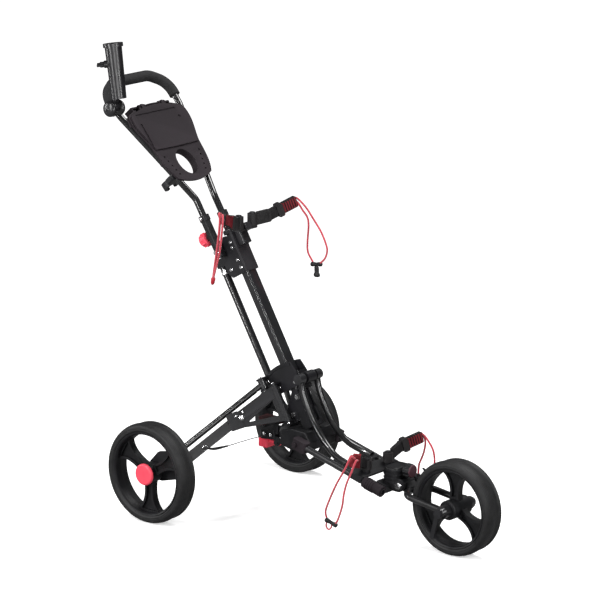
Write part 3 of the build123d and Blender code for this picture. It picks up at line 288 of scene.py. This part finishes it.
rib_red = moulded_plastic(
    "rib_red", (0.26, 0.013, 0.02), (0.38, 0.022, 0.034), 0.45, grain_strength=0.2, wear=0.2)
rib_dark = moulded_plastic(
    "rib_dark", (0.09, 0.008, 0.012), (0.15, 0.012, 0.018), 0.45, grain_strength=0.2, wear=0.2)
plate_black = coated_metal("plate_black", (0.003, 0.003, 0.0036), (0.0055, 0.0053, 0.0066), 0.34, 0.15)
pad_red = moulded_plastic(
    "pad_red", (0.10, 0.006, 0.009), (0.16, 0.009, 0.014), 0.45, grain_strength=0.2, wear=0.2)
wine_grey = moulded_plastic(
    "wine_grey", (0.05, 0.02, 0.027), (0.075, 0.032, 0.042), 0.45, grain_strength=0.2, wear=0.2)
dark_red = moulded_plastic(
    "dark_red", (0.018, 0.003, 0.004), (0.03, 0.005, 0.006), 0.5, grain_strength=0.2, wear=0.2)
satin_black = moulded_plastic(
    "satin_black", (0.005, 0.005, 0.0058), (0.010, 0.0095, 0.011), 0.3,
    grain=900, grain_strength=0.15, wear=0.5, shine=0.5)
cable_steel = bare_metal("cable_steel", (0.10, 0.10, 0.105), 0.5)
rubber_black = rubber("rubber_black", (0.007, 0.007, 0.0075), (0.013, 0.013, 0.0135), 0.5)

node_slots = {part["node"]: part["material_slot"] for part in frame["record"]["subparts"]}
wheel_axles = {
    "front_tyre": joints["front_wheel_spin"]["pos_m"],
    "rear_tyre_right": joints["rear_right_wheel_spin"]["pos_m"],
    "rear_tyre_left": joints["rear_left_wheel_spin"]["pos_m"],
}
for name, obj in nodes.items():
    obj.data.materials.clear()
    if name in wheel_axles:
        dark, light = (0.008, 0.008, 0.0085), (0.015, 0.015, 0.0155)
        obj.data.materials.append(rubber("rubber_" + name, dark, light, 0.55, wheel_axles[name]))
    else:
        obj.data.materials.append(finish[node_slots[name]])
    for polygon in obj.data.polygons:
        polygon.use_smooth = True
nodes["brake_release"].data.materials[0] = dark_red
for name in ("umbrella_holder", "umbrella_clamp", "top_cap", "main_tube_sleeve", "upper_cradle"):
    nodes[name].data.materials[0] = satin_black
for name in ("upper_plates", "lower_plates", "fold_bracket"):
    nodes[name].data.materials[0] = plate_black


def paint(obj, material, chosen):
    """Gives the polygons that a test picks a second material."""
    slot = len(obj.data.materials)
    obj.data.materials.append(material)
    for polygon in obj.data.polygons:
        if chosen(polygon):
            polygon.material_index = slot


def pad_test(knee, tip, pad_long, low, high):
    """Picks an arm pad's outer layer, within a stretch of the pad's length."""
    reach = (tip - knee).normalized()
    across = reach.cross(UP).normalized()

    def test(polygon):
        away = polygon.center - tip
        along = -away.dot(reach)
        return -0.002 < along < pad_long - 0.004 and low < abs(away.dot(across)) < high

    return test


def mirrored(point):
    """The same point on the trolley's other side."""
    return Vector((point.x, -point.y, point.z))


upper_knee, upper_tip = at(78, -62, 694), at(106, -132, 722)
lower_knee, lower_tip = at(470, -78, 196), at(492, -132, 212)
pads = (
    ("upper_arm_right", rib_dark, upper_knee, upper_tip, 0.0052),
    ("upper_arm_left", rib_dark, mirrored(upper_knee), mirrored(upper_tip), 0.0052),
    ("lower_arm_right", pad_red, lower_knee, lower_tip, -1),
    ("lower_arm_left", rib_dark, mirrored(lower_knee), mirrored(lower_tip), 0.0052),
)
for name, colour, knee, tip, low in pads:
    paint(nodes[name], colour, pad_test(knee, tip, 0.05, low, 0.02))
knob_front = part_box("front_knob")[1].x
paint(nodes["front_knob"], wine_grey, lambda polygon: polygon.center.x > knob_front - 0.004)


def soften(obj, width):
    """Merges coplanar triangles, rounds the sharp edges and keeps the shading flat between them."""
    dissolve = obj.modifiers.new("dissolve", "DECIMATE")
    dissolve.decimate_type = "DISSOLVE"
    dissolve.angle_limit = math.radians(1.0)
    dissolve.delimit = {"NORMAL", "MATERIAL"}
    bevel = obj.modifiers.new("bevel", "BEVEL")
    bevel.width = width
    bevel.segments = 2
    bevel.limit_method = "ANGLE"
    bevel.angle_limit = math.radians(35)
    bevel.harden_normals = True
    bevel.use_clamp_overlap = True


for name, obj in nodes.items():
    soften(obj, 0.0008)


# ---- shapes made here --------------------------------------------------------------------
def mesh_object(name, verts, faces, material):
    """A smooth-shaded mesh object in the shared frame."""
    mesh = bpy.data.meshes.new(name)
    mesh.from_pydata([tuple(v) for v in verts], [], faces)
    mesh.materials.append(material)
    for polygon in mesh.polygons:
        polygon.use_smooth = True
    obj = bpy.data.objects.new(name, mesh)
    bpy.context.scene.collection.objects.link(obj)
    return obj


def smooth_path(points, step):
    """Points about a step apart on a smooth curve through the given ones."""
    ends = [2 * points[0] - points[1]] + list(points) + [2 * points[-1] - points[-2]]
    out = []
    for a, b, c, d in zip(ends, ends[1:], ends[2:], ends[3:]):
        count = max(2, round((c - b).length / step))
        for i in range(count):
            t = i / count
            out.append(0.5 * (
                2 * b + (c - a) * t + (2 * a - 5 * b + 4 * c - d) * t * t + (3 * b - a - 3 * c + d) * t ** 3
            ))
    out.append(points[-1].copy())
    return out


def rounded_path(points, radius, step):
    """Points about a step apart on straight runs joined by arcs of one radius."""
    out = [points[0].copy()]
    for before, corner, after in zip(points, points[1:], points[2:]):
        one, two = (before - corner).normalized(), (after - corner).normalized()
        half = one.angle(two) / 2
        cut = radius / math.tan(half)
        middle = corner + (one + two).normalized() * (radius / math.sin(half))
        start, end = corner + one * cut, corner + two * cut
        straight(out, start, step)
        sweep_angle = (start - middle).angle(end - middle)
        count = max(2, round(sweep_angle * radius / step))
        normal = (start - middle).cross(end - middle).normalized()
        for i in range(1, count + 1):
            turn = Matrix.Rotation(sweep_angle * i / count, 3, normal)
            out.append(middle + turn @ (start - middle))
    straight(out, points[-1], step)
    return out


def straight(out, end, step):
    """Extends a list of points in a straight run to an end point."""
    start = out[-1].copy()
    count = max(1, round((end - start).length / step))
    for i in range(1, count + 1):
        out.append(start.lerp(end, i / count))


def swept(name, path, radius_at, sides, material):
    """A round skin along a path; radius_at takes the distance along, the total and the angle."""
    lengths = [0.0]
    for a, b in zip(path, path[1:]):
        lengths.append(lengths[-1] + (b - a).length)
    total = lengths[-1]
    tangent = (path[1] - path[0]).normalized()
    side = tangent.orthogonal().normalized()
    verts, faces = [], []
    for i, point in enumerate(path):
        fresh = (path[min(i + 1, len(path) - 1)] - path[max(i - 1, 0)]).normalized()
        side = tangent.rotation_difference(fresh) @ side
        tangent = fresh
        other = tangent.cross(side)
        for k in range(sides):
            angle = 2 * math.pi * k / sides
            radius = radius_at(lengths[i], total, angle)
            verts.append(point + (side * math.cos(angle) + other * math.sin(angle)) * radius)
    rows = len(path)
    for i in range(rows - 1):
        for k in range(sides):
            j = (k + 1) % sides
            faces.append((i * sides + k, i * sides + j, (i + 1) * sides + j, (i + 1) * sides + k))
    faces.append(tuple(reversed(range(sides))))
    faces.append(tuple(range((rows - 1) * sides, rows * sides)))
    return mesh_object(name, verts, faces, material)


def lathe(name, origin, axis, profile, material, sides=32):
    """A turned piece: profile is (out, along) pairs in millimetres from the origin."""
    axis = axis.normalized()
    side = axis.orthogonal().normalized()
    other = axis.cross(side)
    verts, faces = [], []
    for out, along in profile:
        for k in range(sides):
            angle = 2 * math.pi * k / sides
            ring = side * math.cos(angle) + other * math.sin(angle)
            verts.append(origin + (ring * out + axis * along) * MM)
    for i in range(len(profile) - 1):
        for k in range(sides):
            j = (k + 1) % sides
            faces.append((i * sides + k, i * sides + j, (i + 1) * sides + j, (i + 1) * sides + k))
    faces.append(tuple(reversed(range(sides))))
    faces.append(tuple(range((len(profile) - 1) * sides, len(profile) * sides)))
    return mesh_object(name, verts, faces, material)


def screw_head(name, origin, axis, radius, tall, body, material=None):
    """A domed head on a washer, with a round socket recess."""
    profile = [
        (radius * 1.35, 0), (radius * 1.35, 0.7), (radius * 1.28, 1.0), (radius * 1.02, 1.0), (radius, 1.3),
        (radius, tall * 0.6), (radius * 0.9, tall * 0.85), (radius * 0.7, tall), (radius * 0.5, tall),
        (radius * 0.46, tall - 0.2), (radius * 0.44, tall - 1.4), (0.05, tall - 1.6),
    ]
    head = lathe(name, origin, axis, profile, material or finish["zinc"], 36)
    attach(head, body)


def foam_grip():
    """The ribbed foam sleeve on the handle's loop."""
    corners = [
        on_console(-109.5, 67), on_console(-112, 98), on_console(-62, 128),
        on_console(62, 128), on_console(112, 98), on_console(108.9, 60),
    ]
    bend, outer = 48, 13.0
    rib_pitch, rib_tall = 3.6, 0.55
    lip_long, lip_deep = 1.6, 5.0
    path = rounded_path(corners, bend * MM, 0.8 * MM)

    def radius_at(along, total, angle):
        end = min(along, total - along) / MM
        rib = rib_tall * abs(math.sin(math.pi * along / (rib_pitch * MM))) ** 0.6
        pinch = lip_deep * max(0.0, 1 - end / lip_long) ** 2
        return (outer + rib - pinch) * MM

    sleeve = swept("foam_grip", path, radius_at, 40, finish["foam"])
    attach(sleeve, "handle")
    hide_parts("handle_grip")


def strand(name, points, radius, body):
    """A length of braided elastic cord through the given points."""
    braid_pitch, braid_tall = 9, 0.13

    def radius_at(along, total, angle):
        turn = 2 * math.pi * along / (braid_pitch * MM)
        braid = math.cos(4 * (angle + turn / 4)) * math.cos(4 * (angle - turn / 4))
        return (radius + braid_tall * braid) * MM

    cord = swept(name, smooth_path(points, 1.0 * MM), radius_at, 20, finish["red_cord"])
    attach(cord, body)
    return cord


def toggle(name, centre, along, body, long, thick):
    """A moulded cord end: a waisted grip bar with rounded tips and a ribbed middle."""
    half = long / 2
    profile = [(0.05, -half)]
    for i in range(25):
        t = -1 + 2 * i / 24
        bulge = thick / 2 * (0.62 + 0.38 * abs(t)) * math.sqrt(max(0.02, 1 - abs(t) ** 8))
        rib = 0.35 if i % 3 == 0 and abs(t) < 0.6 else 0
        profile.append((bulge + rib, t * half))
    profile.append((0.05, half))
    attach(lathe(name, centre, along, profile, finish["black_plastic"], 28), body)


def tee(top, body):
    """The far cord's T-shaped end: a thick cross bar over a flattened waisted tongue."""
    toggle("tee_bar", top, Vector((1, 0.15, 0.12)), body, 32, 13)
    tongue = lathe("tee_tongue", top, Vector((0.05, 0, -1)), [
        (3.4, 2), (4.4, 5), (6.4, 7), (6.9, 9), (6.4, 11), (6.9, 13), (6.4, 15), (6.9, 17), (6.3, 20),
        (8.6, 23), (9.4, 26), (8.8, 29), (6.0, 31), (0.05, 31.6),
    ], finish["black_plastic"], 32)
    flatten = Matrix.Diagonal((1, 0.55, 1, 1))
    tongue.data.transform(Matrix.Translation(top) @ flatten @ Matrix.Translation(-top))
    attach(tongue, body)


def moved(points, start):
    """Points given in millimetres from a start point."""
    return [start + Vector(p) * MM for p in points]


def hook(name, points, body, radius=2.2):
    """A bent moulded hook below a cord."""
    piece = swept(
        name, smooth_path(points, 0.8 * MM),
        lambda along, total, angle: radius * MM * math.sqrt(max(0.05, 1 - (2 * along / total - 1) ** 10)),
        16, finish["black_plastic"],
    )
    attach(piece, body)
    return piece


def upper_cords():
    """The upper cradle's stretch cords: two strands each, with a hook at the end."""
    far = mirrored(upper_tip)
    one = strand("upper_left_strand_a", moved(
        [(-8, -8, 4), (0, 2, 6), (22, 10, -15), (43, 12, -40), (69, 10, -68), (87, 8, -98), (89, 8, -114),
         (82, 8, -131), (68, 8, -144)], far), 2.4, "upper_left")
    strand("upper_left_strand_b", moved(
        [(-6, -8, -2), (2, 0, -2), (15, 6, -22), (28, 8, -38), (32, 8, -58), (29, 8, -99), (31, 8, -123),
         (46, 8, -144)], far), 2.4, "upper_left")
    tee(far + Vector((57, 8, -148)) * MM, "upper_left")
    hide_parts("upper_cord_left")
    near = upper_tip
    three = strand("upper_right_strand_a", moved(
        [(-6, 6, 2), (0, -4, 10), (4, -8, -4), (0, -8, -40), (-8, -6, -80), (-22, -2, -118),
         (-34, 2, -148)], near), 2.5, "upper_right")
    strand("upper_right_strand_b", moved(
        [(-12, 10, 4), (-12, -2, 12), (-8, -4, -2), (-10, -6, -40), (-18, -4, -80), (-28, 0, -118),
         (-36, 4, -148)], near), 2.9, "upper_right")
    tip = lathe("upper_right_tip", near + Vector((-34, 3, -145)) * MM, Vector((-0.28, 0.08, -1)), [
        (0.05, 0), (4.2, 0.6), (5.2, 3), (5.4, 7), (4.6, 10), (5.0, 13), (4.0, 16), (2.4, 19), (0.05, 20),
    ], rib_red, 28)
    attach(tip, "upper_right")
    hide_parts("upper_cord_right")


def lower_cords():
    """The lower cradle's stretch cords, with a toggle on the near one and a hook on the far one."""
    near = lower_tip
    one = strand("lower_right_strand_a", moved(
        [(4, 6, 6), (2, -6, 12), (-9, -12, -17), (-37, -12, -64), (-62, -10, -115), (-69, -8, -135),
         (-66, -6, -151)], near), 2.4, "lower_right")
    strand("lower_right_strand_b", moved(
        [(14, 4, 4), (18, -8, 4), (11, -14, -21), (-3, -14, -51), (-11, -14, -80), (-17, -12, -109),
         (-32, -8, -144), (-40, -6, -156)], near), 2.4, "lower_right")
    middle = near + Vector((-54, -6, -157)) * MM
    toggle("lower_right_toggle", middle, Vector((1, 0.3, -0.45)), "lower_right", 34, 13)
    strand("lower_right_loop", moved(
        [(-66, -6, -152), (-68, -6, -162), (-68, -6, -170), (-61, -6, -175), (-54, -6, -169),
         (-52, -6, -160)], near), 1.8, "lower_right")
    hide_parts("lower_cord_right")
    far = mirrored(lower_tip)
    two = strand("lower_left_strand_a", moved(
        [(-8, -8, 6), (-4, 4, 6), (4, 8, -13), (1, 8, -37), (-6, 8, -56), (-12, 6, -73), (-14, 6, -96)], far),
        2.4, "lower_left")
    strand("lower_left_strand_b", moved(
        [(-2, -10, 2), (2, 2, 4), (14, 8, -12), (28, 8, -32), (32, 8, -60), (26, 6, -84), (4, 6, -98)], far),
        2.4, "lower_left")
    hook("lower_left_hook", moved(
        [(-14, 6, -94), (-8, 6, -100), (0, 6, -99), (6, 6, -92), (4, 6, -82), (-2, 6, -80)], far),
        "lower_left", 2.8)
    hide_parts("lower_cord_left")


def hardware():
    """Plated bolts on the sockets and struts, and the ferrule at the top of the thin brace."""
    collar_up, collar_side = 88, 46
    for side, sign in (("right", -1), ("left", 1)):
        spot = handle_pivot + leg_up * collar_up * MM + Vector((0, sign * collar_side, 0)) * MM
        screw_head("socket_bolt_" + side, spot, Vector((0, sign, 0)), 3.4, 3.2, "handle")
    brace_back, brace_top = -75, 262
    ferrule = lathe(
        "brace_ferrule", on_spine(brace_back, 0, brace_top), spine_up,
        [(9.1, 0), (10.2, 0.4), (10.6, 1.4), (10.2, 2.4), (9.6, 3), (9.6, 10), (10.2, 10.6), (10.6, 11.6),
         (10.2, 12.6), (9.1, 13)],
        finish["zinc"], 48,
    )
    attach(ferrule, "spine")


def brake_cable():
    """The wire from the brake to the right strut, with its sheath and anchor bolt."""
    fold, pivot = Vector(joints["leg_right_fold"]["pos_m"]), Vector(joints["carrier_right_turn"]["pos_m"])
    run = pivot - fold
    face = run.cross(spine_up).normalized()
    if face.y > 0:
        face = -face
    width = run.normalized().cross(face)
    anchor = fold + run * 0.745 + face * 6 * MM - width * 6 * MM
    screw_head("cable_bolt", anchor, face, 5.0, 3.4, "leg_right")
    eye = lathe("cable_eye", anchor + face * 3.4 * MM, face,
                [(2.6, 0), (4.6, 0.1), (5.2, 0.7), (5.2, 1.5), (4.6, 2.1), (2.6, 2.2)], rubber_black, 28)
    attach(eye, "leg_right")
    brake = at(150, -24, 186)
    start = anchor + face * 5 * MM
    neck = start.lerp(brake, 0.36) + Vector((0, 0, -0.007))
    sheath = swept("cable_sheath", smooth_path([start, start.lerp(neck, 0.4) - UP * 0.004, neck], 1 * MM),
                   lambda along, total, angle: (2.2 + 1.2 * math.sin(math.pi * along / total) ** 2) * MM,
                   16, rubber_black)
    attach(sheath, "leg_right")
    wire = swept("cable_wire", smooth_path([neck, neck.lerp(brake, 0.5) + UP * 0.001, brake], 1 * MM),
                 lambda along, total, angle: 1.1 * MM, 12, cable_steel)
    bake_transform(wire)
    collar = fold + run * 0.36 + face * 11.5 * MM
    screw_head("collar_bolt", collar - width * 4 * MM, face, 4.4, 3.2, "leg_right")
    for number, (along, aside) in enumerate(((-0.035, 5), (0.03, 7))):
        spot = collar + run * along + width * aside * MM
        screw_head(f"collar_screw_{number}", spot, face, 1.8, 1.6, "leg_right")


def brake_bolts():
    """Plated screws in the brake's side."""
    face, height = 27.4, 188
    for number, x in enumerate((142, 162)):
        for side, sign in (("right", -1), ("left", 1)):
            spot = at(x, sign * face, height)
            screw_head(f"brake_screw_{side}_{number}", spot, Vector((0, sign, 0)), 3.2, 2.8, "spine")


def umbrella_knuckle():
    """The domed caps on the umbrella holder's knuckle."""
    ball = Vector(joints["umbrella_tilt"]["pos_m"])
    cap_radius, cap_middle, cap_half, drop = 19, 6.5, 9.5, 6
    dome = [(0.05, 0.0)]
    for step in range(15):
        angle = math.pi * (step / 14 - 0.5)
        dome.append((cap_radius * math.cos(angle) ** 0.8 + 0.05, cap_middle + cap_half * math.sin(angle)))
    dome.append((0.05, 16.2))
    for side, sign, out in (("near", -1, 7.5), ("far", 1, 11)):
        spot = ball + Vector((0, sign * out, -drop)) * MM
        cap = lathe("knuckle_cap_" + side, spot, Vector((0, sign, 0)), dome, satin_black, 40)
        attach(cap, "handle")


foam_grip()
umbrella_knuckle()
upper_cords()
lower_cords()
hardware()
brake_cable()
brake_bolts()


# ---- stage -----------------------------------------------------------------------------
def plain_floor():
    """A wide pale floor that runs to the horizon. To the camera it glows with painted light that grows with
    distance from the middle, so its shadow fades to white; in reflections and bounce light it is a darker grey.
    """
    bpy.ops.mesh.primitive_plane_add(size=60)
    floor = bpy.context.object
    floor.name = "floor"
    material, tree, shader, coords = new_material("floor")
    rays = tree.nodes.new("ShaderNodeLightPath")
    grain = noise_node(tree, coords, 3)
    seen = ramp(tree, grain.outputs["Fac"], (0.90, 0.90, 0.90), (0.93, 0.93, 0.93))
    mix = tree.nodes.new("ShaderNodeMix")
    mix.data_type = "RGBA"
    tree.links.new(rays.outputs["Is Camera Ray"], mix.inputs["Factor"])
    # painted shade: reflections and bounce light see the floor as a darker grey than the camera does
    mix.inputs["A"].default_value = (0.22, 0.22, 0.22, 1)
    tree.links.new(seen.outputs["Color"], mix.inputs["B"])
    tree.links.new(mix.outputs["Result"], shader.inputs["Base Color"])
    shader.inputs["Roughness"].default_value = 0.9
    shader.inputs["Specular IOR Level"].default_value = 0.0
    shader.inputs["Emission Color"].default_value = (1, 1, 1, 1)
    # painted light: the floor glows to the camera only, more strongly away from the middle, so shadows fade to
    # white
    away = tree.nodes.new("ShaderNodeVectorMath")
    away.operation = "LENGTH"
    tree.links.new(coords.outputs["Object"], away.inputs[0])
    painted_glow = map_range(tree, away.outputs["Value"], 0.36, 0.92, 0.8, 5.0)
    only_seen = tree.nodes.new("ShaderNodeMath")
    only_seen.operation = "MULTIPLY"
    tree.links.new(painted_glow.outputs["Result"], only_seen.inputs[0])
    tree.links.new(rays.outputs["Is Camera Ray"], only_seen.inputs[1])
    tree.links.new(only_seen.outputs["Value"], shader.inputs["Emission Strength"])
    floor.data.materials.append(material)


def area_light(name, place, target, size, power):
    """A soft rectangular light that looks at a point."""
    light = bpy.data.lights.new(name, "AREA")
    light.shape = "RECTANGLE"
    light.size = size[0]
    light.size_y = size[1]
    light.energy = power
    obj = bpy.data.objects.new(name, light)
    obj.location = place
    obj.rotation_euler = (Vector(target) - Vector(place)).to_track_quat("-Z", "Y").to_euler()
    bpy.context.scene.collection.objects.link(obj)


def studio():
    """White surroundings for the camera, dim ones for reflections, and soft boxes."""
    world = bpy.data.worlds.new("studio")
    world.use_nodes = True
    tree = world.node_tree
    background = tree.nodes["Background"]
    rays = tree.nodes.new("ShaderNodeLightPath")
    level = tree.nodes.new("ShaderNodeMapRange")
    level.inputs["To Min"].default_value = 0.12
    level.inputs["To Max"].default_value = 1.0
    tree.links.new(rays.outputs["Is Camera Ray"], level.inputs["Value"])
    background.inputs["Color"].default_value = (1, 1, 1, 1)
    tree.links.new(level.outputs["Result"], background.inputs["Strength"])
    bpy.context.scene.world = world
    middle = (0, 0, 0.5)
    area_light("key", (-0.6, -2.8, 1.9), middle, (0.14, 3.2), 110)
    area_light("side", (3.0, -0.4, 1.6), middle, (0.14, 2.2), 60)
    area_light("fill", (-2.8, -1.6, 1.2), middle, (0.14, 2.0), 40)
    area_light("front", (1.8, -2.2, 0.9), middle, (1.2, 0.8), 30)
    area_light("top", (0.4, 1.2, 3.2), middle, (1.6, 1.2), 90)
    bpy.context.scene.view_settings.view_transform = "Standard"


def photo_camera():
    """The camera: azimuth and elevation of the view, and a long lens."""
    azimuth, elevation, roll = (math.radians(a) for a in (39.44, 14.16, 0.31))
    target = at(228, 0, 523.6)
    distance = 8.070
    back = Vector((
        math.sin(azimuth) * math.cos(elevation),
        -math.cos(azimuth) * math.cos(elevation),
        math.sin(elevation),
    ))
    camera = bpy.data.cameras.new("camera")
    camera.sensor_width = 36
    camera.lens = 206.8
    camera.clip_end = 100
    obj = bpy.data.objects.new("camera", camera)
    obj.location = target + back * distance
    look = (-back).to_track_quat("-Z", "Y").to_matrix().to_4x4()
    obj.matrix_world = Matrix.Translation(obj.location) @ look @ Matrix.Rotation(roll, 4, "Z")
    bpy.context.scene.collection.objects.link(obj)
    bpy.context.scene.camera = obj


plain_floor()
studio()
photo_camera()
